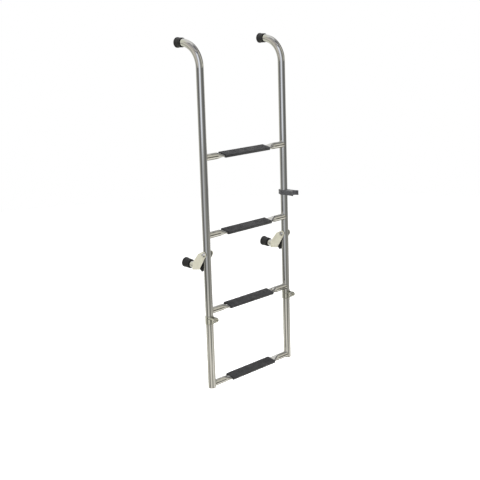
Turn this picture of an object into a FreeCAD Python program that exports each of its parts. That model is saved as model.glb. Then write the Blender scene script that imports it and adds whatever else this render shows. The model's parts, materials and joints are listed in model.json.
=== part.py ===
import FreeCAD, Part
import math
import os

V = FreeCAD.Vector

# Driving dimensions in millimetres and degrees.
# X runs from the left rail to the right one, Y towards the boat, Z up.
# The origin is the middle of the left top foot's flat face.

# Rails
rail_diameter = 25.4
rail_wall = 1.5
rail_spacing = 387.0
hook_reach = 98.4         # from a rail's axis back to the flat face of its foot
bend_radius = 77.6        # of a rail's axis at the hook
first_rung_drop = 360.2   # from the axis of a hook's end down to the first rung
rung_spacing = 254.0
rung_count = 4
rail_tail = 12.5          # what the lower rails stick out below the last rung

# Rungs and their tread sleeves
rung_diameter = 22.2
rung_wall = 1.2
rung_flat_width = 31.6
rung_flat_height = 6.6
flare_length = 31.4
flare_steps = 4
tread_length = 214.0
tread_width = 37.5
tread_thickness = 10.6
tread_tilt = 13.0         # front edge down, so that the treads lie level on a raked stern
tread_corner = 2.5
tread_fit = 0.2
groove_count = 7
groove_width = 2.0
groove_depth = 0.8

# Rubber feet
foot_length = 25.9
leg_foot_length = 29.0
foot_wall = 5.5
foot_rim_diameter = 30.6
foot_waist_diameter = 31.4
foot_base_diameter = 33.3
foot_base_height = 6.0
foot_round = 1.5
foot_fit = 0.3

# Folding hinges
hinge_drop = 24.5         # from the third rung down to the parting plane
hinge_pivot_out = 25.9    # from a rail's axis forward to the pivot
hinge_pivot_drop = 2.4    # from the parting plane down to the pivot
hinge_ear_radius = 7.9
hinge_collar_wall = 1.5
hinge_upper_height = 8.8
hinge_lower_height = 18.9
hinge_floor = 3.0         # solid metal between the parting plane and a tube's end
hinge_tongue = 9.2
hinge_cheek = 3.7
hinge_side_gap = 0.4
hinge_round = 1.0
parting_gap = 0.3
pin_diameter = 7.0
pin_head_diameter = 12.0
pin_head_height = 2.2
running_fit = 0.05        # radial play of a shaft that turns
seat_fit = 0.1            # radial play of a tube in its socket

# Swivelling stand-off legs
leg_bolt_drop = 59.6      # from the second rung down to the swivel bolts
leg_raise = 6.0           # how far the legs are swung up from level
leg_drop = 52.5           # from a bolt down to its leg's axis, with the leg level
leg_reach = 99.8          # from a bolt back to its leg's flat face, with the leg level
leg_tube_diameter = 22.2
leg_tube_wall = 1.5
fork_lobe_radius = 10.2
fork_crown_slope = 32.0   # of the top edge behind the lobe
fork_crown_length = 23.1
fork_rear_top = 42.5      # from a bolt down to the rear face's top
fork_toe_back = 17.1
fork_toe_drop = 55.4
fork_back = 50.8          # from a bolt back to the fork's rear face
fork_width = 33.6
fork_sheet = 2.5
fork_bend_round = 4.0
fork_top_round = 12.9
fork_toe_round = 3.7
bolt_diameter = 9.5
bolt_head_diameter = 17.5
bolt_head_height = 5.5
nut_across_flats = 14.3
nut_height = 4.6
spacer_diameter = 17.5
spacer_gap = 0.2
stop_fit = 0.3
stop_grip = 2.8           # how far the rubber stop reaches round the rail
stop_top_drop = 35.1      # from a bolt down to the top of its stop
stop_nose_drop = 49.9     # below this, only a narrower nose goes on down
stop_nose_width = 17.5
stop_low_drop = 62.3
stop_depth = 14.8         # from the rail back to the stop's rear
stop_round = 2.0

# Retaining clip on the right rail
clip_drop = 167.2         # from the first rung down to the clip's middle
clip_height = 16.2
clip_wall = 2.7
clip_neck = 25.9
clip_lug_reach = 6.2
clip_lug_width = 13.0
clip_slit = 2.4
clip_mouth = 1.8          # how far the prongs reach past the jaw's middle
clip_tip_round = 1.2
clip_screw_diameter = 2.5
clip_screw_head = 4.6
clip_screw_head_height = 2.5
clip_screw_fit = 0.1
clip_screw_edge = 0.9     # from the screw's head to the lugs' end

# Places that follow from the sizes above
rail_radius = rail_diameter / 2
rail_y = -hook_reach
rung_z = [-first_rung_drop - rung_spacing * k for k in range(rung_count)]
hinge_z = rung_z[2] - hinge_drop
bolt_z = rung_z[1] - leg_bolt_drop
clip_z = rung_z[0] - clip_drop
mid_x = rail_spacing / 2
AXIS_X = V(1, 0, 0)
AXIS_Y = V(0, 1, 0)
AXIS_Z = V(0, 0, 1)


def rod(diameter, start, axis, length):
    """A round bar from start along axis."""
    return Part.makeCylinder(diameter / 2, length, start, axis)


def cross_bar(diameter, x_from, x_to, y=0.0, z=0.0):
    """A round bar along X."""
    return rod(diameter, V(x_from, y, z), AXIS_X, x_to - x_from)


def block(x_from, x_to, y_from, y_to, z_from, z_to):
    """A plain block between two corners."""
    return Part.makeBox(x_to - x_from, y_to - y_from, z_to - z_from, V(x_from, y_from, z_from))


def side_plate(edges, x_from, x_to):
    """A plate whose outline is drawn in the YZ plane."""
    face = Part.Face(Part.Wire(edges))
    plate = face.extrude(V(x_to - x_from, 0, 0))
    plate.translate(V(x_from, 0, 0))
    return plate


def rounded(shape, radius, picks):
    """Rounds the edges that picks accepts."""
    edges = [e for e in shape.Edges if picks(e)]
    return shape.makeFillet(radius, edges) if edges else shape


def runs_along(edge, axis):
    """Whether an edge is a straight line along an axis."""
    if edge.Curve.TypeId != "Part::GeomLine":
        return False
    direction = edge.Vertexes[-1].Point.sub(edge.Vertexes[0].Point)
    return direction.cross(axis).Length < 1e-6 * direction.Length


def moved(shape, x=0.0, y=0.0, z=0.0):
    """A copy of a shape at another place."""
    copy = shape.copy()
    copy.translate(V(x, y, z))
    return copy


def swept_disc(diameter, path):
    """A round bar along a path that starts upwards."""
    start = path[0].Vertexes[0].Point
    disc = Part.Face(Part.Wire([Part.Circle(start, AXIS_Z, diameter / 2).toShape()]))
    return Part.Wire(path).makePipe(disc)


def rail_path(below, behind):
    """The axis of an upper rail, longer at its ends by below and behind."""
    foot = V(0, 0, hinge_z + parting_gap / 2 + hinge_floor - below)
    bend_low = V(0, 0, -bend_radius)
    slant = bend_radius * math.sqrt(0.5)
    bend_mid = V(0, bend_radius - slant, slant - bend_radius)
    bend_high = V(0, bend_radius, 0)
    end = V(0, hook_reach - foot_wall + behind, 0)
    return [Part.LineSegment(foot, bend_low).toShape(),
            Part.Arc(bend_low, bend_mid, bend_high).toShape(),
            Part.LineSegment(bend_high, end).toShape()]


def upper_rail():
    """A long tube bent back at its top, drilled for the leg's bolt."""
    outer = swept_disc(rail_diameter, rail_path(0, 0))
    bore = swept_disc(rail_diameter - 2 * rail_wall, rail_path(1, 1))
    hole = cross_bar(bolt_diameter + 2 * seat_fit, -rail_diameter, rail_diameter, 0, bolt_z)
    return moved(outer.cut(bore).cut(hole), 0, rail_y)


def lower_rail():
    """The short tube that carries the last rung."""
    top = hinge_z - parting_gap / 2 - hinge_floor
    bottom = rung_z[-1] - rail_tail
    outer = rod(rail_diameter, V(0, rail_y, bottom), AXIS_Z, top - bottom)
    return outer.cut(rod(rail_diameter - 2 * rail_wall, V(0, rail_y, bottom), AXIS_Z, top - bottom))


def tread_frame(z):
    """The place of a tread: its width runs back and up, its length runs to the right."""
    tilt = math.radians(tread_tilt)
    back = V(0, math.cos(tilt), math.sin(tilt))
    up = V(0, -math.sin(tilt), math.cos(tilt))
    return FreeCAD.Placement(V(mid_x, rail_y, z), FreeCAD.Rotation(back, up, AXIS_X, "XYZ"))


def oval(width, height, along):
    """An oval outline across a rung, at a distance along it."""
    if width - height < 0.01:
        edge = Part.Circle(V(0, 0, along), AXIS_Z, width / 2).toShape()
    else:
        edge = Part.Ellipse(V(0, 0, along), width / 2, height / 2).toShape()
    return Part.Wire([edge])


def flare_sections(shrink):
    """The outlines of a rung's right half, from the middle's flat oval to the round end."""
    flat_end = tread_length / 2
    sections = []
    for step in range(flare_steps + 1):
        share = (1 - math.cos(math.pi * step / flare_steps)) / 2
        width = rung_flat_width + (rung_diameter - rung_flat_width) * share
        height = rung_flat_height + (rung_diameter - rung_flat_height) * share
        along = flat_end + flare_length * step / flare_steps
        sections.append(oval(width - shrink, height - shrink, along))
    return sections


def rung_bar(shrink):
    """A rung from rail axis to rail axis: round, flared to a flat oval and round again."""
    flat_end = tread_length / 2
    round_start = flat_end + flare_length
    middle = Part.Face(oval(rung_flat_width - shrink, rung_flat_height - shrink, -flat_end))
    bar = middle.extrude(V(0, 0, tread_length))
    flare = Part.makeLoft(flare_sections(shrink), True)
    end = rod(rung_diameter - shrink, V(0, 0, round_start), AXIS_Z, mid_x - round_start)
    for piece in (flare, end):
        other = piece.mirror(V(0, 0, 0), AXIS_Z)
        bar = bar.fuse([piece, other])
    return bar


def rung(z):
    """A tube rung, coped to both rails."""
    bar = rung_bar(0).cut(rung_bar(2 * rung_wall))
    bar.Placement = tread_frame(z)
    for x in (0, rail_spacing):
        bar = bar.cut(rod(rail_diameter, V(x, rail_y, z - rail_diameter), AXIS_Z, 2 * rail_diameter))
    return bar


def tread(z):
    """A ribbed sleeve over the flat middle of a rung."""
    half_width = tread_width / 2
    half_thick = tread_thickness / 2
    half_length = tread_length / 2
    sleeve = block(-half_width, half_width, -half_thick, half_thick, -half_length, half_length)
    sleeve = rounded(sleeve, tread_corner, lambda e: runs_along(e, AXIS_Z))
    bore = Part.Face(oval(rung_flat_width + 2 * tread_fit, rung_flat_height + 2 * tread_fit, -half_length))
    sleeve = sleeve.cut(bore.extrude(V(0, 0, tread_length)))
    pitch = (tread_width - 2 * tread_corner) / groove_count
    for k in range(groove_count):
        middle = (k - (groove_count - 1) / 2) * pitch
        groove = block(middle - groove_width / 2, middle + groove_width / 2,
                       half_thick - groove_depth, tread_thickness, -half_length, half_length)
        sleeve = sleeve.cut(groove)
    sleeve.Placement = tread_frame(z)
    return sleeve


def foot(tube_diameter, length):
    """A rubber foot for a tube along Y, with its flat face at y = 0."""
    rim = foot_rim_diameter / 2
    waist = foot_waist_diameter / 2
    base = foot_base_diameter / 2
    bore = tube_diameter / 2 + foot_fit
    turn = foot_round * (1 - math.sqrt(0.5))
    outline = [V(0, 0, 0), V(base - foot_round, 0, 0), V(base, -foot_round, 0),
               V(base, -foot_base_height + 1, 0), V(waist, -foot_base_height - 1, 0),
               V(rim, -length, 0), V(bore, -length, 0), V(bore, -foot_wall, 0),
               V(0, -foot_wall, 0)]
    edges = []
    for k, start in enumerate(outline):
        end = outline[(k + 1) % len(outline)]
        if k == 1:
            edges.append(Part.Arc(start, V(base - turn, -turn, 0), end).toShape())
        else:
            edges.append(Part.LineSegment(start, end).toShape())
    return Part.Face(Part.Wire(edges)).revolve(V(0, 0, 0), AXIS_Y, 360)


def hinge_collar(low, high, socket_low, socket_high):
    """A cast collar with a socket for a tube's end."""
    collar = rod(rail_diameter + 2 * hinge_collar_wall, V(0, 0, low), AXIS_Z, high - low)
    collar = rounded(collar, hinge_round, lambda e: abs(e.BoundBox.ZMax - e.BoundBox.ZMin) < 1e-6)
    socket = rod(rail_diameter + 2 * seat_fit, V(0, 0, socket_low), AXIS_Z, socket_high - socket_low)
    return collar, socket


def hinge_ear(x_from, x_to, z_from, z_to):
    """An ear that reaches forward from the collar and ends round the pivot."""
    arm = block(x_from, x_to, -hinge_pivot_out, 0, z_from, z_to)
    ear = arm.fuse(pivot_bar(2 * hinge_ear_radius, x_from, x_to))
    return ear.removeSplitter()


def pivot_bar(diameter, x_from, x_to):
    """A round bar on a hinge's pivot."""
    return cross_bar(diameter, x_from, x_to, -hinge_pivot_out, -hinge_pivot_drop)


def upper_hinge():
    """The fixed half of a hinge: a collar with two cheeks."""
    face = parting_gap / 2
    collar, socket = hinge_collar(face, hinge_upper_height, face + hinge_floor, hinge_upper_height)
    inner = hinge_tongue / 2 + hinge_side_gap
    outer = inner + hinge_cheek
    for x_from, x_to in ((-outer, -inner), (inner, outer)):
        collar = collar.fuse(hinge_ear(x_from, x_to, face, hinge_ear_radius - hinge_pivot_drop))
    return collar.cut(socket).cut(pivot_bar(pin_diameter, -outer, outer))


def lower_hinge():
    """The folding half of a hinge: a collar with one tongue."""
    face = -parting_gap / 2
    collar, socket = hinge_collar(-hinge_lower_height, face, -hinge_lower_height, face - hinge_floor)
    half = hinge_tongue / 2
    collar = collar.fuse(hinge_ear(-half, half, -hinge_ear_radius - hinge_pivot_drop, face))
    return collar.cut(socket).cut(pivot_bar(pin_diameter + 2 * running_fit, -half, half))


def hinge_pin():
    """A riveted pin with a low round head at each end."""
    reach = hinge_tongue / 2 + hinge_side_gap + hinge_cheek
    pin = pivot_bar(pin_diameter, -reach, reach)
    for side in (-1, 1):
        seat = side * reach
        tip = side * (reach + pin_head_height)
        head = pivot_bar(pin_head_diameter, min(seat, tip), max(seat, tip))
        head = rounded(head, pin_head_height * 0.6, lambda e, x=tip: abs(e.BoundBox.Center.x - x) < 1e-6
                       and e.BoundBox.XLength < 1e-6)
        pin = pin.fuse(head)
    return pin.removeSplitter()


def fork_corners():
    """A fork's side view round its bolt, with the leg level: its corners from the lobe's top on."""
    crown = math.radians(fork_crown_slope)
    lobe_top = V(0, math.sin(crown), math.cos(crown)) * fork_lobe_radius
    shoulder = lobe_top + V(0, math.cos(crown), -math.sin(crown)) * fork_crown_length
    rear_top = V(0, fork_back, -fork_rear_top)
    rear_low = V(0, fork_back, -leg_drop - leg_tube_diameter / 2)
    toe = V(0, fork_toe_back, -fork_toe_drop)
    low = math.atan2(toe.z, toe.y) - math.acos(fork_lobe_radius / toe.Length)
    lobe_low = V(0, math.cos(low), math.sin(low)) * fork_lobe_radius
    return [lobe_top, shoulder, rear_top, rear_low, toe, lobe_low]


def fork():
    """A bent sheet fork whose two cheeks straddle the rail."""
    half = fork_width / 2
    inner = half - fork_sheet
    corners = fork_corners()
    lobe = Part.Arc(corners[-1], V(0, -fork_lobe_radius, 0), corners[0]).toShape()
    sides = [Part.LineSegment(p, corners[k + 1]).toShape() for k, p in enumerate(corners[:-1])]
    body = side_plate([lobe] + sides, -half, half)
    top_z = body.BoundBox.ZMax
    for corner, radius in ((corners[1], fork_top_round), (corners[4], fork_toe_round)):
        body = rounded(body, radius, lambda e, c=corner: runs_along(e, AXIS_X)
                       and math.hypot(e.BoundBox.Center.y - c.y, e.BoundBox.Center.z - c.z) < 1e-6)
    body = rounded(body, fork_bend_round, lambda e: runs_along(e, AXIS_Z)
                   and abs(e.BoundBox.Center.y - fork_back) < 1e-6)
    room = block(-inner, inner, -fork_back, fork_back - fork_sheet, -2 * fork_back, top_z + 1)
    room = rounded(room, fork_bend_round - fork_sheet, lambda e: runs_along(e, AXIS_Z)
                   and e.BoundBox.Center.y > 0)
    return body.cut(room).cut(cross_bar(bolt_diameter + 2 * running_fit, -half, half))


def leg_tube():
    """The short tube behind a fork."""
    length = leg_reach - foot_wall - fork_back
    start = V(0, fork_back, -leg_drop)
    outer = rod(leg_tube_diameter, start, AXIS_Y, length)
    return outer.cut(rod(leg_tube_diameter - 2 * leg_tube_wall, start, AXIS_Y, length))


def leg_foot():
    """The rubber foot of a leg, with the leg level."""
    return moved(foot(leg_tube_diameter, leg_foot_length), 0, leg_reach, -leg_drop)


def leg_stop():
    """The rubber stop between the cheeks, hollowed to the rail that it leans on with the leg level."""
    half = fork_width / 2 - fork_sheet - stop_fit
    nose_half = stop_nose_width / 2
    seat = rail_radius + stop_fit
    front = seat - stop_grip
    rear = seat + stop_depth
    body = block(-half, half, front, rear, -stop_nose_drop, -stop_top_drop)
    outline = [V(0, front, -stop_top_drop), V(0, rear, -stop_top_drop), V(0, rear, -stop_nose_drop),
               V(0, seat, -stop_low_drop), V(0, front, -stop_low_drop)]
    edges = [Part.LineSegment(p, outline[(k + 1) % len(outline)]).toShape()
             for k, p in enumerate(outline)]
    nose = side_plate(edges, -nose_half, nose_half)
    stop = body.fuse(nose).removeSplitter()
    stop = rounded(stop, stop_round, lambda e: runs_along(e, AXIS_X) and e.BoundBox.Center.y > rear - 1
                   and e.BoundBox.Center.z > -stop_nose_drop + 1)
    hollow = rod(2 * seat, V(0, 0, -stop_low_drop), AXIS_Z, stop_low_drop - stop_top_drop)
    return stop.cut(hollow)


def leg_place(shape, x):
    """Swings a leg piece up from level and puts it on its rail."""
    copy = shape.copy()
    copy.rotate(V(0, 0, 0), AXIS_X, leg_raise)
    copy.translate(V(x, rail_y, bolt_z))
    return copy


def leg_bolt(side):
    """The swivel bolt of a leg, with its round head on the outer side."""
    half = fork_width / 2 + spacer_gap
    shank = cross_bar(bolt_diameter, -half - 1, half + nut_height)
    head = cross_bar(bolt_head_diameter, -half - bolt_head_height, -half)
    head = rounded(head, bolt_head_height * 0.6, lambda e: e.BoundBox.XLength < 1e-6
                   and e.BoundBox.Center.x < -half - 1)
    bolt = shank.fuse(head).removeSplitter()
    return bolt if side < 0 else bolt.mirror(V(0, 0, 0), AXIS_X)


def leg_nut(side):
    """The hexagon nut on the inner side of a leg's bolt."""
    half = fork_width / 2 + spacer_gap
    corner = nut_across_flats / math.sqrt(3)
    points = [V(0, corner * math.cos(math.radians(60 * k)), corner * math.sin(math.radians(60 * k)))
              for k in range(7)]
    nut = Part.Face(Part.makePolygon(points)).extrude(V(nut_height, 0, 0))
    nut.translate(V(half, 0, 0))
    nut = nut.cut(cross_bar(bolt_diameter, half, half + nut_height))
    return nut if side < 0 else nut.mirror(V(0, 0, 0), AXIS_X)


def leg_spacers():
    """Two spacers that fill the room between the rail and the fork's cheeks."""
    reach = fork_width / 2 - fork_sheet - spacer_gap
    bar = cross_bar(spacer_diameter, -reach, reach)
    bar = bar.cut(rod(rail_diameter, V(0, 0, -spacer_diameter), AXIS_Z, 2 * spacer_diameter))
    return bar.cut(cross_bar(bolt_diameter, -reach, reach))


def clip_screw_y():
    """The screw sits as near to the lugs' end as its head allows."""
    return rail_radius + clip_lug_reach - clip_screw_edge - clip_screw_head / 2


def clip_screw_bars(play):
    """The screw with its head and nut, both sunk into the lugs."""
    half = clip_lug_width / 2
    y = clip_screw_y()
    screw = cross_bar(clip_screw_diameter + 2 * play, -half, half, y, clip_z)
    for side in (-1, 1):
        x_from = side * (half - clip_screw_head_height)
        head = cross_bar(clip_screw_head + 2 * play, min(x_from, side * half), max(x_from, side * half), y, clip_z)
        screw = screw.fuse(head)
    return screw.removeSplitter()


def clip():
    """A snap clip: a collar pinched by a screw, and an open jaw that faces forward."""
    low = clip_z - clip_height / 2
    jaw_y = -2 * hinge_pivot_out
    bore = rail_diameter + 2 * seat_fit
    outer = bore + 2 * clip_wall
    mouth_y = jaw_y - clip_mouth
    collar = rod(outer, V(0, 0, low), AXIS_Z, clip_height)
    jaw = rod(outer, V(0, jaw_y, low), AXIS_Z, clip_height)
    neck = block(-clip_neck / 2, clip_neck / 2, jaw_y, 0, low, low + clip_height)
    lugs = block(-clip_lug_width / 2, clip_lug_width / 2, 0, rail_radius + clip_lug_reach,
                 low, low + clip_height)
    body = collar.fuse([jaw, neck, lugs])
    for y in (0, jaw_y):
        body = body.cut(rod(bore, V(0, y, low), AXIS_Z, clip_height))
    body = body.cut(block(-outer, outer, jaw_y - outer, mouth_y, low, low + clip_height))
    body = rounded(body.removeSplitter(), clip_tip_round, lambda e: runs_along(e, AXIS_Z)
                   and abs(e.BoundBox.Center.y - mouth_y) < 1e-6)
    body = body.cut(block(-clip_slit / 2, clip_slit / 2, 0, 2 * outer, low, low + clip_height))
    return moved(body.cut(clip_screw_bars(clip_screw_fit)), 0, rail_y)


def clip_screw():
    """The screw that closes the clip's collar."""
    return moved(clip_screw_bars(0), 0, rail_y)


def build():
    """Every piece by name."""
    pieces = {}
    for side_name, side, x in (("left", -1, 0.0), ("right", 1, rail_spacing)):
        pieces[side_name + "_rail"] = moved(upper_rail(), x)
        pieces[side_name + "_lower_rail"] = moved(lower_rail(), x)
        pieces[side_name + "_top_foot"] = moved(foot(rail_diameter, foot_length), x)
        pieces[side_name + "_upper_hinge"] = moved(upper_hinge(), x, rail_y, hinge_z)
        pieces[side_name + "_lower_hinge"] = moved(lower_hinge(), x, rail_y, hinge_z)
        pieces[side_name + "_hinge_pin"] = moved(hinge_pin(), x, rail_y, hinge_z)
        pieces[side_name + "_leg_fork"] = leg_place(fork(), x)
        pieces[side_name + "_leg_tube"] = leg_place(leg_tube(), x)
        pieces[side_name + "_leg_foot"] = leg_place(leg_foot(), x)
        pieces[side_name + "_leg_stop"] = leg_place(leg_stop(), x)
        pieces[side_name + "_leg_bolt"] = moved(leg_bolt(side), x, rail_y, bolt_z)
        pieces[side_name + "_leg_nut"] = moved(leg_nut(side), x, rail_y, bolt_z)
        pieces[side_name + "_leg_spacers"] = moved(leg_spacers(), x, rail_y, bolt_z)
    for k, z in enumerate(rung_z):
        pieces["rung_%d" % (k + 1)] = rung(z)
        pieces["tread_%d" % (k + 1)] = tread(z)
    pieces["retaining_clip"] = moved(clip(), rail_spacing)
    pieces["clip_screw"] = moved(clip_screw(), rail_spacing)
    return pieces


os.makedirs("parts", exist_ok=True)
for name, shape in build().items():
    shape.exportStep("parts/" + name + ".step")
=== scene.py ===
import bpy
import bmesh
import json
import math
from mathutils import Matrix, Vector


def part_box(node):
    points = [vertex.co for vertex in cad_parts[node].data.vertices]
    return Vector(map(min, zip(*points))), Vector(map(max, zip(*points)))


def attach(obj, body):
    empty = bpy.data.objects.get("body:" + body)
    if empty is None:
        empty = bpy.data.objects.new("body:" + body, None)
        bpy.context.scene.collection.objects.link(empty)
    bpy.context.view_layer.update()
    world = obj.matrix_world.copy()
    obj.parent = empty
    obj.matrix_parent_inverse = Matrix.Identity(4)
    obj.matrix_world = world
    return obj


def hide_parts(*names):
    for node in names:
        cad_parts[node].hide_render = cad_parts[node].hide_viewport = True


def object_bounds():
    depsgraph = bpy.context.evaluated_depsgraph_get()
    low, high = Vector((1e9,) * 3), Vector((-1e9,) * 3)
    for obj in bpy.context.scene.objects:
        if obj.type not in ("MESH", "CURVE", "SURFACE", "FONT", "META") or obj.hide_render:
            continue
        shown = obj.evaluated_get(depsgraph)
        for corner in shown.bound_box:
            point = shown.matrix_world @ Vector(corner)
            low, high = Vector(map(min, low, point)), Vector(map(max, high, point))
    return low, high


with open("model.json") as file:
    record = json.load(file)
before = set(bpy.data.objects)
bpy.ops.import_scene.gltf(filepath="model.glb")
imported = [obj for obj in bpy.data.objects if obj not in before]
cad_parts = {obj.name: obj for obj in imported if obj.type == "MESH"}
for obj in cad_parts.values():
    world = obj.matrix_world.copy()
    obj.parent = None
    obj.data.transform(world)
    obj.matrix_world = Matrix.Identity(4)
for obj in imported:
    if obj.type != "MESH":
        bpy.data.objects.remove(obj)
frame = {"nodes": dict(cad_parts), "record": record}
cad_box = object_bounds()


def middle(node):
    """The middle of a node's box."""
    low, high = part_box(node)
    return (low + high) / 2


def extent(node):
    """How far a node's box reaches along each axis."""
    low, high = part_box(node)
    return high - low


def outer_face(node, side):
    """How far across a node's outer face is, with a side of -1 on the left and 1 on the right."""
    low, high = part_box(node)
    return low.x if side < 0 else high.x


# The photograph's view: a point on its line of sight, the camera's distance from there in metres,
# its way round from the front to the left, its height and its lean in degrees, and its lens in
# millimetres.
view_target = Vector((0.1658, -0.09005, -0.6599))
view_distance = 3.2728
view_azimuth = 46.32
view_elevation = 13.0
view_roll = -1.79
lens = 72.83
sensor_width = 36.0

# Sizes of the ladder that the finer pieces need, in metres and degrees.
rail_radius = 0.0127
half_spacing = (middle("right_lower_rail").x - middle("left_lower_rail").x) / 2
rung_radius = extent("rung_1").z / 2
rung_count = len([name for name in frame["nodes"] if name.startswith("rung_")])
tread_length = extent("tread_1").x
tread_width = 0.0375
tread_thickness = 0.0106
tread_corner = 0.0025
tread_tilt = 13.0
groove_count = 7
groove_width = 0.002
groove_depth = 0.0008
leg_tube_radius = rung_radius
leg_raise = 6.0
leg_drop = 0.0525
leg_reach = 0.0998
fork_back = 0.0508
fork_inside = 0.0155

# Colours, in linear light.
STEEL = (0.64, 0.635, 0.625)
STEEL_STREAK = (0.53, 0.525, 0.52)
CAST_STEEL = (0.60, 0.60, 0.55)
CAST_STEEL_DARK = (0.44, 0.44, 0.40)
SATIN_STEEL = (0.94, 0.915, 0.785)
SATIN_STEEL_DARK = (0.84, 0.815, 0.685)
# Painted shade: the dark colour given to the fork's inner faces, where shade falls between the cheeks.
SATIN_INSIDE_PAINTED_SHADE = (0.27, 0.26, 0.23)
BOLT_STEEL = (0.80, 0.79, 0.77)
BOLT_STEEL_DARK = (0.66, 0.65, 0.63)
BEAD_STEEL = (0.56, 0.55, 0.52)
BEAD_STEEL_DARK = (0.36, 0.34, 0.30)
TREAD_BLACK = (0.024, 0.024, 0.026)
TREAD_GREY = (0.042, 0.042, 0.045)
CLIP_GREY = (0.100, 0.100, 0.108)
CLIP_GREY_DARK = (0.066, 0.066, 0.070)
SPACER_GREY = (0.16, 0.16, 0.14)
SPACER_GREY_DARK = (0.10, 0.10, 0.085)
RUBBER = (0.010, 0.010, 0.011)
RUBBER_GREY = (0.018, 0.018, 0.019)
FLOOR_WHITE = (0.9, 0.9, 0.9)
FLOOR_GLOW = (0.5, 0.5, 0.5)
WHITE = (1.0, 1.0, 1.0)


class Nodes:
    """A node tree, with short ways to add, set and join nodes."""

    def __init__(self, tree):
        self.tree = tree

    def add(self, kind, **settings):
        node = self.tree.nodes.new("ShaderNode" + kind)
        for key, value in settings.items():
            setattr(node, key, value)
        return node

    def join(self, out, into):
        self.tree.links.new(out, into)

    def feed(self, value, into):
        """Sets a socket to a colour or a number, or joins another node's output to it."""
        if isinstance(value, tuple):
            into.default_value = (*value, 1)
        elif isinstance(value, float):
            into.default_value = value
        else:
            self.join(value, into)

    def place(self, stretch):
        """Object coordinates stretched by a scale along each axis."""
        mapping = self.add("Mapping")
        mapping.inputs["Scale"].default_value = stretch
        self.join(self.add("TexCoord").outputs["Object"], mapping.inputs["Vector"])
        return mapping.outputs["Vector"]

    def noise(self, scale, stretch=(1, 1, 1), detail=3.0, roughness=0.55):
        """A cloudy pattern from none to one."""
        node = self.add("TexNoise")
        node.inputs["Scale"].default_value = scale
        node.inputs["Detail"].default_value = detail
        node.inputs["Roughness"].default_value = roughness
        self.join(self.place(stretch), node.inputs["Vector"])
        return node.outputs["Fac"]

    def spread(self, value, low, high, to_low=0.0, to_high=1.0, interpolation="LINEAR"):
        """Maps the range between two values to another."""
        node = self.add("MapRange", interpolation_type=interpolation)
        for key, number in (("From Min", low), ("From Max", high), ("To Min", to_low), ("To Max", to_high)):
            node.inputs[key].default_value = number
        self.join(value, node.inputs["Value"])
        return node.outputs["Result"]

    def blend(self, factor, first, second):
        """A colour between two, by a factor."""
        node = self.add("Mix", data_type="RGBA")
        for key, value in (("Factor", factor), ("A", first), ("B", second)):
            self.feed(value, node.inputs[key])
        return node.outputs["Result"]

    def compute(self, operation, *values):
        """One step of arithmetic."""
        node = self.add("Math", operation=operation)
        for socket, value in zip(node.inputs, values):
            self.feed(value, socket)
        return node.outputs[0]


class Finish(Nodes):
    """A material's nodes, from its patterns to its shader."""

    def __init__(self, name):
        self.material = bpy.data.materials.new(name)
        self.material.use_nodes = True
        super().__init__(self.material.node_tree)
        self.shader = self.tree.nodes["Principled BSDF"]

    def tint(self, pattern, first, second, low=0.3, high=0.75):
        """A colour that goes from one to another as a pattern rises between two levels."""
        return self.blend(self.spread(pattern, low, high), first, second)

    def shine(self, pattern, bright, dull):
        """A roughness that a pattern moves between two values."""
        return self.spread(pattern, 0.3, 0.7, bright, dull)

    def bump(self, height, depth, strength=1.0, under=None):
        """Fine relief from a pattern, over another relief where one is given."""
        node = self.add("Bump")
        node.inputs["Strength"].default_value = strength
        node.inputs["Distance"].default_value = depth
        self.join(height, node.inputs["Height"])
        if under is not None:
            self.join(under, node.inputs["Normal"])
        return node.outputs["Normal"]

    def finish(self, color, roughness, normal, metallic):
        """Joins the patterns to the shader."""
        self.shader.inputs["Metallic"].default_value = metallic
        self.join(color, self.shader.inputs["Base Color"])
        self.join(roughness, self.shader.inputs["Roughness"])
        self.join(normal, self.shader.inputs["Normal"])
        return self.material


def polished_tube():
    """Bright drawn tube: faint streaks along its length and fine handling marks."""
    nodes = Finish("rail_steel")
    streaks = nodes.noise(scale=90.0, stretch=(1, 1, 0.02), detail=4.0, roughness=0.6)
    smears = nodes.noise(scale=14.0, stretch=(1, 1, 0.35))
    scratches = nodes.noise(scale=700.0, stretch=(1, 1, 0.012), detail=2.0, roughness=0.7)
    draw_waves = nodes.noise(scale=30.0, stretch=(1, 1, 0.1), detail=1.0)
    color = nodes.tint(streaks, STEEL, STEEL_STREAK, low=0.35)
    roughness = nodes.shine(smears, bright=0.04, dull=0.09)
    waves = nodes.bump(draw_waves, depth=0.0012)
    normal = nodes.bump(scratches, depth=0.00002, strength=0.2, under=waves)
    return nodes.finish(color, roughness, normal, metallic=1.0)


def cast_steel():
    """Cast hinge halves, polished bright over faint pits."""
    nodes = Finish("cast_steel")
    pits = nodes.noise(scale=900.0, roughness=0.6)
    cloud = nodes.noise(scale=70.0)
    color = nodes.tint(cloud, CAST_STEEL, CAST_STEEL_DARK)
    roughness = nodes.shine(cloud, bright=0.03, dull=0.07)
    normal = nodes.bump(pits, depth=0.00008, strength=0.3)
    return nodes.finish(color, roughness, normal, metallic=1.0)


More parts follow.
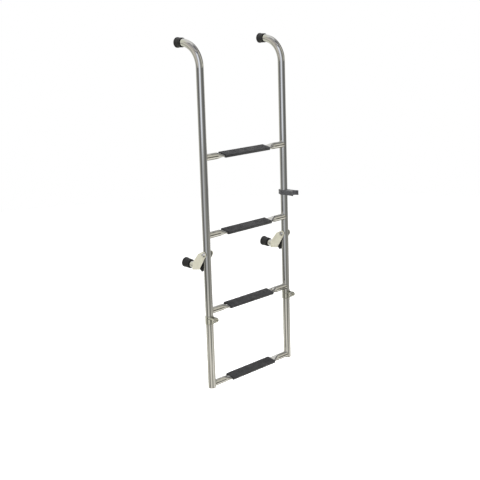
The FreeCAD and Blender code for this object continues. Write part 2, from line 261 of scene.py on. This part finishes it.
def satin_sheet():
    """Pressed stainless sheet, satin bright outside, with painted shade on the inner faces between its
    cheeks.
    """
    nodes = Finish("fork_steel")
    grain = nodes.noise(scale=600.0, stretch=(1, 0.05, 1), roughness=0.65)
    cloud = nodes.noise(scale=40.0, detail=2.0)
    outside = nodes.tint(cloud, SATIN_STEEL, SATIN_STEEL_DARK)
    split = nodes.add("SeparateXYZ")
    nodes.join(nodes.add("TexCoord").outputs["Object"], split.inputs["Vector"])
    # The first fold gives how far a point is from the ladder's middle, the second from its own rail.
    across = split.outputs["X"]
    for fold in range(2):
        across = nodes.compute("ABSOLUTE", nodes.compute("SUBTRACT", across, half_spacing))
    # Points nearer their rail than the inner faces take the painted shade colour, which stands in for the
    # shade between the cheeks.
    color = nodes.blend(nodes.compute("LESS_THAN", across, fork_inside), outside, SATIN_INSIDE_PAINTED_SHADE)
    roughness = nodes.shine(grain, bright=0.34, dull=0.48)
    normal = nodes.bump(grain, depth=0.00003, strength=0.4)
    return nodes.finish(color, roughness, normal, metallic=0.5)


def bolt_steel():
    """Turned bolt heads, nuts and pins."""
    nodes = Finish("bolt_steel")
    marks = nodes.noise(scale=260.0, detail=4.0, roughness=0.6)
    color = nodes.tint(marks, BOLT_STEEL, BOLT_STEEL_DARK, low=0.35)
    roughness = nodes.shine(marks, bright=0.06, dull=0.14)
    normal = nodes.bump(marks, depth=0.00003, strength=0.3)
    return nodes.finish(color, roughness, normal, metallic=1.0)


def weld_bead_steel():
    """Brushed weld beads, a little duller and warmer than the tube."""
    nodes = Finish("bead_steel")
    cloud = nodes.noise(scale=320.0, roughness=0.6)
    color = nodes.tint(cloud, BEAD_STEEL, BEAD_STEEL_DARK)
    roughness = nodes.shine(cloud, bright=0.26, dull=0.42)
    normal = nodes.bump(cloud, depth=0.00008, strength=0.4)
    return nodes.finish(color, roughness, normal, metallic=1.0)


def moulded(name, light, dark, bright, dull, grain_depth, gloss=0.5):
    """Moulded plastic or rubber with a fine spark grain."""
    nodes = Finish(name)
    nodes.shader.inputs["Specular IOR Level"].default_value = gloss
    grain = nodes.noise(scale=1400.0, detail=2.0, roughness=0.5)
    cloud = nodes.noise(scale=45.0)
    color = nodes.tint(cloud, light, dark, high=0.7)
    roughness = nodes.shine(cloud, bright, dull)
    normal = nodes.bump(grain, grain_depth, strength=0.6)
    return nodes.finish(color, roughness, normal, metallic=0.0)


materials = {
    "rail_steel": polished_tube(),
    "cast_steel": cast_steel(),
    "fork_steel": satin_sheet(),
    "bolt_steel": bolt_steel(),
    "tread_plastic": moulded("tread_plastic", TREAD_GREY, TREAD_BLACK,
                             bright=0.34, dull=0.50, grain_depth=0.00010, gloss=0.25),
    "clip_plastic": moulded("clip_plastic", CLIP_GREY, CLIP_GREY_DARK,
                            bright=0.36, dull=0.50, grain_depth=0.00006),
    "spacer_plastic": moulded("spacer_plastic", SPACER_GREY, SPACER_GREY_DARK,
                              bright=0.40, dull=0.52, grain_depth=0.00006),
    "foot_rubber": moulded("foot_rubber", RUBBER_GREY, RUBBER,
                           bright=0.44, dull=0.62, grain_depth=0.00012, gloss=0.4),
}
bead_material = weld_bead_steel()

# Each CAD node takes the material of its slot in the record.
for row in frame["record"]["subparts"]:
    data = frame["nodes"][row["node"]].data
    if not data.materials:
        data.materials.append(None)
    for index in range(len(data.materials)):
        data.materials[index] = materials[row["material_slot"]]


# How close two points are that count as one, the smallest step between two edges of a turned
# piece, and the faces round a turned piece and round a small one.
tiny = 1e-6
fine_step = 0.0001
round_steps = 72
small_round_steps = 48


def piece(name, bm, body, slot, material=None, crease=35.0, node=None):
    """A finished piece that rides on a body, and stands for a node where one is named."""
    bmesh.ops.remove_doubles(bm, verts=bm.verts, dist=tiny)
    bmesh.ops.recalc_face_normals(bm, faces=bm.faces)
    mesh = bpy.data.meshes.new(name)
    bm.to_mesh(mesh)
    bm.free()
    for face in mesh.polygons:
        face.use_smooth = True
    mesh.set_sharp_from_angle(angle=math.radians(crease))
    mesh.materials.append(material or materials[slot])
    obj = bpy.data.objects.new(name, mesh)
    bpy.context.scene.collection.objects.link(obj)
    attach(obj, body)
    if node:
        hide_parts(node)


def turn(bm, matrix):
    """Turns a shape about the origin."""
    bmesh.ops.rotate(bm, verts=bm.verts, cent=(0, 0, 0), matrix=matrix)


def move(bm, way):
    """Moves a shape."""
    bmesh.ops.translate(bm, verts=bm.verts, vec=way)


def put(bm, axis_to, place):
    """Turns a shape's Z axis to a direction and moves its origin to a place."""
    turn(bm, Vector(axis_to).to_track_quat("Z", "Y").to_matrix())
    move(bm, Vector(place))


def spin_round(bm, steps):
    """Spins an outline all the way round Z and closes it."""
    bmesh.ops.spin(bm, geom=bm.verts[:] + bm.edges[:], cent=(0, 0, 0), axis=(0, 0, 1),
                   angle=2 * math.pi, steps=steps, use_merge=True)
    bmesh.ops.remove_doubles(bm, verts=bm.verts, dist=tiny)


def turned(profile, steps=round_steps):
    """A shape turned about Z from points of (radius, height)."""
    bm = bmesh.new()
    verts = [bm.verts.new((radius, 0, height)) for radius, height in profile]
    for first, second in zip(verts, verts[1:]):
        bm.edges.new((first, second))
    spin_round(bm, steps)
    return bm


def make_hexagon(bm, radius, across_flats):
    """Moves the points that lie at a radius about Z onto a hexagon."""
    for vert in bm.verts:
        if abs(vert.co.xy.length - radius) < tiny:
            angle = math.atan2(vert.co.y, vert.co.x) % (math.pi / 3) - math.pi / 6
            vert.co.xy *= across_flats / 2 / math.cos(angle) / radius


def arc(center_radius, center_height, radius, start, end, count):
    """Points of (radius, height) along an arc, by angle from straight out."""
    points = []
    for k in range(count + 1):
        angle = math.radians(start + (end - start) * k / count)
        points.append((center_radius + radius * math.cos(angle), center_height + radius * math.sin(angle)))
    return points


def soften(bm, edges, size, segments):
    """Rounds edges."""
    bmesh.ops.bevel(bm, geom=edges, offset=size, segments=segments, profile=0.5, affect="EDGES", material=-1)


# Weld beads
bead_thickness = 0.0011
bead_sides = 10
bead_waves = 26
bead_share = 0.12
hinge_bead_thickness = 0.0010
hinge_bead_gap = 0.0002


def ring(radius, thickness, steps=round_steps):
    """A plain round bead about Z."""
    bm = bmesh.new()
    bmesh.ops.create_circle(bm, segments=bead_sides, radius=thickness)
    turn(bm, Matrix.Rotation(math.pi / 2, 3, "X"))
    move(bm, (radius, 0, 0))
    spin_round(bm, steps)
    return bm


def ripple(bm, radius):
    """Swells and narrows a bead along its way, as a weld pool does."""
    for vert in bm.verts:
        out = Vector((vert.co.x, vert.co.y, 0))
        core = out.normalized() * radius
        swell = 1 + bead_share * math.cos(bead_waves * math.atan2(vert.co.y, vert.co.x))
        vert.co = core + (vert.co - core) * swell


def rung_bead(name, body, rail_x, rung, way):
    """The bead where a rung meets a rail, which follows the rail's round side.

    The way is 1 where the rung leaves the rail to the right, and -1 to the left.
    """
    bm = ring(rung_radius, bead_thickness, 4 * bead_waves)
    ripple(bm, rung_radius)
    turn(bm, Matrix.Rotation(math.pi / 2, 3, "Y"))
    for vert in bm.verts:
        cope = math.sqrt(max(rail_radius ** 2 - vert.co.y ** 2, 0))
        vert.co.x = rail_x + way * (cope + vert.co.x)
    center = middle(rung)
    move(bm, (0, center.y, center.z))
    piece(name, bm, body, "rail_steel", bead_material)


def leg_bead(name, body, leg):
    """The bead where a leg's tube leaves its fork."""
    bm = ring(leg_tube_radius, bead_thickness)
    ripple(bm, leg_tube_radius)
    put(bm, (0, 1, 0), (0, fork_back, -leg_drop))
    bmesh.ops.transform(bm, matrix=leg, verts=bm.verts)
    piece(name, bm, body, "fork_steel", bead_material)


def hinge_bead(name, body, rail, height):
    """The thin bead where a rail enters a hinge's socket."""
    bm = ring(rail_radius + hinge_bead_gap, hinge_bead_thickness)
    put(bm, (0, 0, 1), (rail.x, rail.y, height))
    piece(name, bm, body, "cast_steel", bead_material)


# Bolts, nuts, pins and screws
dome_rim_turn = 1.5
head_radius = 0.00875
head_height = 0.0055
head_edge = 0.0012
socket_radius = 0.0036
socket_flats = 0.006
socket_depth = 0.003
socket_lip = 0.0005
socket_point = 0.0006
bolt_radius = 0.00475
bolt_chamfer = 0.0008
nut_flats = 0.0143
nut_height = 0.0046
nut_chamfer = 0.0007
nut_bore_chamfer = 0.0006
nut_face_share = 0.97
pin_radius = 0.0035
pin_head_radius = 0.006
pin_head_height = 0.0022
pin_head_edge = 0.0006
pin_dimple_radius = 0.0012
pin_dimple_depth = 0.0005
clip_screw_radius = 0.00125
clip_head_radius = 0.0023
clip_head_height = 0.0025
clip_head_chamfer = 0.0004
clip_nut_chamfer = 0.0003
clip_socket_radius = 0.0011
clip_socket_flats = 0.0019
clip_socket_depth = 0.0014


def dome(radius, height, edge, steps):
    """A low dome's outline as (radius, height): a stepped edge, then a ball up to its middle."""
    rise = height - edge
    ball = (radius ** 2 + rise ** 2) / (2 * rise)
    inside_rim = math.degrees(math.acos(radius / ball)) + dome_rim_turn
    rim = [(radius - edge, 0), (radius - edge, edge * 0.4), (radius, edge * 0.6), (radius, edge * 0.9)]
    return rim + arc(0, height - ball, ball, inside_rim, 90, steps)


def swivel_bolt(name, body, node, side):
    """A round head with a hexagon socket, its shank and its chamfered end."""
    head = dome(head_radius, head_height, head_edge, steps=14)
    crown = [point for point in head if point[0] > socket_radius + socket_lip]
    lip = crown[-1][1]
    socket = [(socket_radius, lip + fine_step), (socket_radius, lip - socket_depth),
              (0, lip - socket_depth - socket_point)]
    tip = head_height - extent(node).x
    shank = [(0, tip), (bolt_radius - bolt_chamfer, tip), (bolt_radius, tip + bolt_chamfer), (bolt_radius, 0)]
    bm = turned(shank + crown + socket)
    make_hexagon(bm, socket_radius, socket_flats)
    center = middle(node)
    head_x = outer_face(node, side) - side * head_height
    put(bm, (side, 0, 0), (head_x, center.y, center.z))
    piece(name, bm, body, "bolt_steel", node=node)


def swivel_nut(name, body, node, side):
    """A chamfered hexagon nut."""
    corner = nut_flats / math.sqrt(3)
    rim = nut_flats / 2 * nut_face_share
    profile = [(bolt_radius, 0), (rim, 0), (corner, nut_chamfer), (corner, nut_height - nut_chamfer),
               (rim, nut_height), (bolt_radius + nut_bore_chamfer, nut_height),
               (bolt_radius, nut_height - nut_bore_chamfer), (bolt_radius, 0)]
    bm = turned(profile)
    make_hexagon(bm, corner, nut_flats)
    center = middle(node)
    put(bm, (-side, 0, 0), (outer_face(node, side), center.y, center.z))
    piece(name, bm, body, "bolt_steel", node=node, crease=25.0)


def hinge_rivet(name, body, node):
    """A hinge's pin with two low round heads, each with a small dimple."""
    seat = extent(node).x / 2 - pin_head_height
    head = dome(pin_head_radius, pin_head_height, pin_head_edge, steps=10)
    crown = [(radius, seat + height) for radius, height in head if radius > pin_dimple_radius + fine_step]
    top = crown[-1][1]
    dimple = [(pin_dimple_radius, top - fine_step), (0, top - pin_dimple_depth)]
    right = [(pin_radius, 0), (pin_radius, seat)] + crown + dimple
    left = [(radius, -height) for radius, height in reversed(right)]
    bm = turned(left[:-1] + right[1:], small_round_steps)
    put(bm, (1, 0, 0), middle(node))
    piece(name, bm, body, "bolt_steel", node=node)


def clip_fastener(name, body, node):
    """The clip's small socket screw and its sunk nut."""
    half = extent(node).x / 2
    socket = [(0, half - clip_socket_depth), (clip_socket_radius, half - clip_socket_depth),
              (clip_socket_radius, half)]
    head = [(clip_head_radius - clip_head_chamfer, half), (clip_head_radius, half - clip_head_chamfer),
            (clip_head_radius, half - clip_head_height)]
    shank = [(clip_screw_radius, half - clip_head_height), (clip_screw_radius, clip_head_height - half)]
    nut = [(clip_head_radius, clip_head_height - half), (clip_head_radius, clip_nut_chamfer - half),
           (clip_head_radius - clip_nut_chamfer, -half), (0, -half)]
    bm = turned(socket + head + shank + nut, small_round_steps)
    make_hexagon(bm, clip_socket_radius, clip_socket_flats)
    put(bm, (-1, 0, 0), middle(node))
    piece(name, bm, body, "bolt_steel", node=node)


# Rubber feet
hook_foot_length = extent("left_top_foot").y
leg_foot_length = 0.029
foot_fit = 0.0003
foot_base_radius = extent("left_top_foot").x / 2
foot_waist_radius = 0.0157
foot_rim_radius = 0.0153
foot_wall = 0.0055
foot_base_round = 0.0015
foot_base_low = 0.0053
foot_waist_top = 0.0068
foot_step_round = 0.0007
foot_waist_share = 0.55
foot_lip_round = 0.0012
foot_bore_chamfer = 0.0006


def rubber_foot(name, body, node, tube_radius, length, transform):
    """A moulded foot: a base with a soft edge, a shallow waist and a rolled lip."""
    bore = tube_radius + foot_fit
    outline = [(0, 0)]
    outline += arc(foot_base_radius - foot_base_round, -foot_base_round, foot_base_round, 90, 0, 6)
    outline += arc(foot_base_radius - foot_step_round, -foot_base_low, foot_step_round, 0, -80, 4)
    outline += arc(foot_waist_radius + foot_step_round, -foot_waist_top, foot_step_round, 100, 180, 4)
    outline += [(foot_waist_radius - fine_step, -length * foot_waist_share)]
    outline += arc(foot_rim_radius - foot_lip_round, -length + foot_lip_round, foot_lip_round, 0, -90, 5)
    outline += [(bore + foot_bore_chamfer, -length), (bore, -length + foot_bore_chamfer)]
    outline += [(bore, -foot_wall), (0, -foot_wall)]
    bm = turned(outline)
    put(bm, (0, 1, 0), (0, 0, 0))
    bmesh.ops.transform(bm, matrix=transform, verts=bm.verts)
    piece(name, bm, body, "foot_rubber", node=node, crease=50.0)


# Treads
rib_round = 0.00035
tread_end_round = 0.0003


def tread_outline():
    """A tread's section: flat below, with grooves along its top, as (across, up)."""
    half_width = tread_width / 2
    half_thick = tread_thickness / 2
    pitch = (tread_width - 2 * tread_corner) / groove_count
    points = [(-half_width, -half_thick), (half_width, -half_thick), (half_width, half_thick)]
    for k in reversed(range(groove_count)):
        place = (k - (groove_count - 1) / 2) * pitch
        for across, depth in ((1, 0), (1, 1), (-1, 1), (-1, 0)):
            points.append((place + across * groove_width / 2, half_thick - depth * groove_depth))
    points.append((-half_width, half_thick))
    return points


def long_edges(bm, at_side):
    """The edges along a tread, either those at its two sides or the others."""
    found = []
    for edge in bm.edges:
        first, second = (vert.co for vert in edge.verts)
        is_long = abs(first.z - second.z) > tread_length / 2
        is_side = abs(abs(first.x) - tread_width / 2) < tiny
        if is_long and is_side == at_side:
            found.append(edge)
    return found


def ribbed_tread(name, body, node):
    """A tread sleeve with rounded ribs on top and soft ends."""
    bm = bmesh.new()
    section = bm.faces.new([bm.verts.new((x, y, -tread_length / 2)) for x, y in tread_outline()])
    grown = bmesh.ops.extrude_face_region(bm, geom=[section])
    moved = [item for item in grown["geom"] if isinstance(item, bmesh.types.BMVert)]
    bmesh.ops.translate(bm, verts=moved, vec=(0, 0, tread_length))
    soften(bm, long_edges(bm, at_side=False), rib_round, segments=2)
    soften(bm, long_edges(bm, at_side=True), tread_corner, segments=6)
    ends = [face for face in bm.faces if abs(face.normal.z) > 0.99]
    rims = list({edge for face in ends for edge in face.edges})
    soften(bm, rims, tread_end_round, segments=2)
    tilt = math.radians(tread_tilt)
    turn(bm, Matrix(((0, 0, 1), (math.cos(tilt), -math.sin(tilt), 0), (math.sin(tilt), math.cos(tilt), 0))))
    move(bm, middle(node))
    piece(name, bm, body, "tread_plastic", node=node, crease=40.0)


# The ladder's finer pieces, in place
joints = {joint["name"]: joint for joint in frame["record"]["behaviour"]["joints"]}
rung_numbers = range(1, rung_count + 1)


def rung_body(number):
    """The body that a rung and its tread belong to: the last ones fold with the lower section."""
    return "lower_section" if number == rung_count else "upper_ladder"


def leg_frame(joint):
    """Swings a leg's piece up from level and puts it on its bolt."""
    return Matrix.Translation(Vector(joint["pos_m"])) @ Matrix.Rotation(math.radians(leg_raise), 4, "X")


def dress_side(side_name, side):
    """The beads, fasteners and rubber feet of one side, which is -1 on the left and 1 on the right."""
    rail = middle(side_name + "_lower_rail")
    leg = leg_frame(joints[side_name + "_leg_swivel"])
    leg_body = side_name + "_leg"
    for number in rung_numbers:
        bead_name = "%s_rung_bead_%d" % (side_name, number)
        rung_bead(bead_name, rung_body(number), rail.x, "rung_%d" % number, -side)
    leg_bead(side_name + "_leg_bead", leg_body, leg)
    socket_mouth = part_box(side_name + "_upper_hinge")[1].z
    hinge_bead(side_name + "_upper_hinge_bead", "upper_ladder", rail, socket_mouth)
    socket_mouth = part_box(side_name + "_lower_hinge")[0].z
    hinge_bead(side_name + "_lower_hinge_bead", "lower_section", rail, socket_mouth)
    swivel_bolt(side_name + "_swivel_bolt", "upper_ladder", side_name + "_leg_bolt", side)
    swivel_nut(side_name + "_swivel_nut", "upper_ladder", side_name + "_leg_nut", side)
    hinge_rivet(side_name + "_hinge_rivet", "upper_ladder", side_name + "_hinge_pin")
    rubber_foot(side_name + "_hook_foot", "upper_ladder", side_name + "_top_foot",
                rail_radius, hook_foot_length, Matrix.Translation((rail.x, 0, 0)))
    rubber_foot(side_name + "_standoff_foot", leg_body, side_name + "_leg_foot",
                leg_tube_radius, leg_foot_length, leg @ Matrix.Translation((0, leg_reach, -leg_drop)))


dress_side("left", -1)
dress_side("right", 1)
for number in rung_numbers:
    ribbed_tread("ribbed_tread_%d" % number, rung_body(number), "tread_%d" % number)
clip_fastener("clip_fastener", "upper_ladder", "clip_screw")


# The studio that polished metal mirrors: a white tent with its front open, and cards and soft boxes
# in it. Each row has the way round from the view and the height that it spans, each with the width
# of its soft edges, all in degrees, and a colour. A row covers those before it.
TENT = (0.95, 0.95, 0.92)
STUDIO = {
    "shaded floor": ((-200, 200, 10), (-90, -27, 8), (0.48, 0.47, 0.42)),
    "deep floor": ((-80, 70, 20), (-90, -38, 10), (0.12, 0.115, 0.10)),
    "open front": ((-120, 128, 30), (-27, 46, 10), (0.36, 0.36, 0.33)),
    "floor near by": ((-200, 200, 10), (-28, -18, 5), (0.70, 0.68, 0.60)),
    "ceiling gap": ((-80, 134, 20), (46, 80, 8), (0.24, 0.24, 0.26)),
    "ceiling light": ((-70, 40, 16), (56, 63, 4), (0.95, 0.93, 0.88)),
    "left wash": ((-116, -36, 12), (-1, 44, 4), (0.78, 0.74, 0.66)),
    "left dark strip": ((-100, -40, 10), (26, 33, 4), (0.40, 0.38, 0.36)),
    "left flag": ((-84, -46, 12), (-17, -2, 3), (0.19, 0.19, 0.195)),
    "low left flag": ((-74, -44, 10), (-19, -14, 2), (0.13, 0.13, 0.12)),
    "right flag": ((42, 90, 16), (-12, -2, 3), (0.20, 0.205, 0.205)),
    "low right flag": ((18, 52, 10), (-21, -12, 4), (0.25, 0.25, 0.225)),
    "front box": ((-27, 15, 8), (-8, 44, 3), (1.10, 1.15, 1.26)),
    "front glow": ((-30, 8, 10), (-16, -8, 4), (0.63, 0.65, 0.67)),
    "low front glow": ((-34, 8, 12), (-36, -16, 4), (0.98, 0.96, 0.86)),
    "left card": ((-122, -86, 10), (0, 60, 4), (0.95, 0.97, 0.80)),
    "middle left card": ((-126, -90, 12), (-24, 0, 4), (0.54, 0.54, 0.46)),
    "low left card": ((-140, -86, 10), (-60, -24, 6), (0.92, 0.94, 0.78)),
    "left floor glow": ((-126, -67, 14), (-22, -17, 3), (0.82, 0.81, 0.70)),
    "left floor line": ((-70, -40, 10), (-30, -19.9, 1.4), (0.22, 0.21, 0.185)),
    "right card": ((78, 138, 10), (2, 52, 4), (0.78, 0.76, 0.65)),
    "right far flag": ((106, 166, 10), (4, 44, 8), (0.20, 0.20, 0.20)),
    "low right card": ((68, 126, 16), (-18, -12, 4), (0.56, 0.55, 0.50)),
    "right floor card": ((54, 126, 16), (-60, -18, 4), (1.12, 1.10, 0.98)),
    "right floor glow": ((18, 62, 14), (-27, -20.1, 1.2), (1.12, 1.09, 0.99)),
    "right floor line": ((16, 48, 10), (-30, -20.4, 1.2), (0.26, 0.25, 0.225)),
    "right dark strip": ((87, 100, 4), (-25, 2, 5), (0.15, 0.143, 0.125)),
}
room_strength = 0.55
floor_drop = 0.5
floor_radius = 6.0
lamp_target = (0.2, -0.1, -0.6)


def mirrored_studio(nodes):
    """The tent and its rows as a colour for each direction, on a world's nodes."""
    view = nodes.add("Mapping")
    view.inputs["Rotation"].default_value = (0, 0, math.radians(view_azimuth))
    nodes.join(nodes.add("TexCoord").outputs["Generated"], view.inputs["Vector"])
    split = nodes.add("SeparateXYZ")
    nodes.join(view.outputs["Vector"], split.inputs["Vector"])
    degrees = 180 / math.pi
    around = nodes.compute("ARCTAN2", split.outputs["X"], nodes.compute("MULTIPLY", split.outputs["Y"], -1.0))
    around = nodes.compute("MULTIPLY", around, degrees)
    height = nodes.compute("MULTIPLY", nodes.compute("ARCSINE", split.outputs["Z"]), degrees)

    def window(value, low, high, soft):
        """One between two angles, none outside them, with soft edges."""
        edges = []
        for angle in (low, high):
            edges.append(nodes.spread(value, angle - soft / 2, angle + soft / 2, interpolation="SMOOTHSTEP"))
        return nodes.compute("SUBTRACT", *edges)

    color = TENT
    for around_span, height_span, row_color in STUDIO.values():
        share = nodes.compute("MULTIPLY", window(around, *around_span), window(height, *height_span))
        color = nodes.blend(share, color, row_color)
    return color


def world_light():
    """A pale studio: even soft light, white to the eye, and the rows above where metal mirrors it."""
    world = bpy.data.worlds.new("studio")
    bpy.context.scene.world = world
    world.use_nodes = True
    world.node_tree.nodes.clear()
    nodes = Nodes(world.node_tree)

    def background(color, strength=1.0):
        node = nodes.add("Background")
        nodes.feed(color, node.inputs["Color"])
        nodes.feed(strength, node.inputs["Strength"])
        return node.outputs[0]

    def choose(factor, first, second):
        node = nodes.add("MixShader")
        for socket, value in zip(node.inputs, (factor, first, second)):
            nodes.join(value, socket)
        return node.outputs[0]

    path = nodes.add("LightPath")
    mirrored = background(mirrored_studio(nodes))
    lit = choose(path.outputs["Is Glossy Ray"], background(WHITE, room_strength), mirrored)
    seen = choose(path.outputs["Is Camera Ray"], lit, background(WHITE))
    nodes.join(seen, nodes.add("OutputWorld").inputs["Surface"])


def lamp(name, place, size, watts):
    """A square soft lamp that looks at the ladder."""
    data = bpy.data.lights.new(name, "AREA")
    data.size = size
    data.energy = watts
    obj = bpy.data.objects.new(name, data)
    bpy.context.scene.collection.objects.link(obj)
    obj.location = place
    obj.rotation_mode = "QUATERNION"
    obj.rotation_quaternion = (Vector(lamp_target) - Vector(place)).to_track_quat("-Z", "Y")
    obj.visible_glossy = False


def floor_finish():
    """A pale matt floor, white to the eye, that still takes shadows."""
    nodes = Finish("floor_white")
    nodes.feed(FLOOR_WHITE, nodes.shader.inputs["Base Color"])
    nodes.shader.inputs["Roughness"].default_value = 0.9
    glow = nodes.add("Emission")
    nodes.feed(FLOOR_GLOW, glow.inputs["Color"])
    nodes.join(nodes.add("LightPath").outputs["Is Camera Ray"], glow.inputs["Strength"])
    total = nodes.add("AddShader")
    nodes.join(nodes.shader.outputs[0], total.inputs[0])
    nodes.join(glow.outputs[0], total.inputs[1])
    nodes.join(total.outputs[0], nodes.tree.nodes["Material Output"].inputs["Surface"])
    return nodes.material


def pale_floor():
    """A round floor below the ladder."""
    bm = bmesh.new()
    bmesh.ops.create_circle(bm, cap_ends=True, segments=96, radius=floor_radius)
    low, high = cad_box
    move(bm, (high.x / 2, 0, low.z - floor_drop))
    mesh = bpy.data.meshes.new("floor")
    bm.to_mesh(mesh)
    bm.free()
    obj = bpy.data.objects.new("floor", mesh)
    bpy.context.scene.collection.objects.link(obj)
    obj.visible_glossy = False
    mesh.materials.append(floor_finish())


def camera():
    """The photograph's view."""
    data = bpy.data.cameras.new("view")
    data.sensor_width = sensor_width
    data.lens = lens
    data.clip_start = 0.05
    data.clip_end = 60.0
    obj = bpy.data.objects.new("view", data)
    bpy.context.scene.collection.objects.link(obj)
    azimuth = math.radians(view_azimuth)
    elevation = math.radians(view_elevation)
    back = Vector((-math.sin(azimuth) * math.cos(elevation), -math.cos(azimuth) * math.cos(elevation),
                   math.sin(elevation)))
    face = (-back).to_track_quat("-Z", "Y").to_matrix().to_4x4()
    roll = Matrix.Rotation(math.radians(view_roll), 4, "Z")
    obj.matrix_world = Matrix.Translation(view_target + back * view_distance) @ face @ roll
    bpy.context.scene.camera = obj


world_light()
lamp("key", place=(-1.6, -2.2, 1.6), size=1.6, watts=46.0)
lamp("fill", place=(2.6, -1.6, 0.2), size=1.8, watts=16.0)
lamp("top", place=(0.4, 0.3, 2.2), size=1.8, watts=96.0)
pale_floor()
camera()

bpy.context.scene.view_settings.view_transform = "Standard"
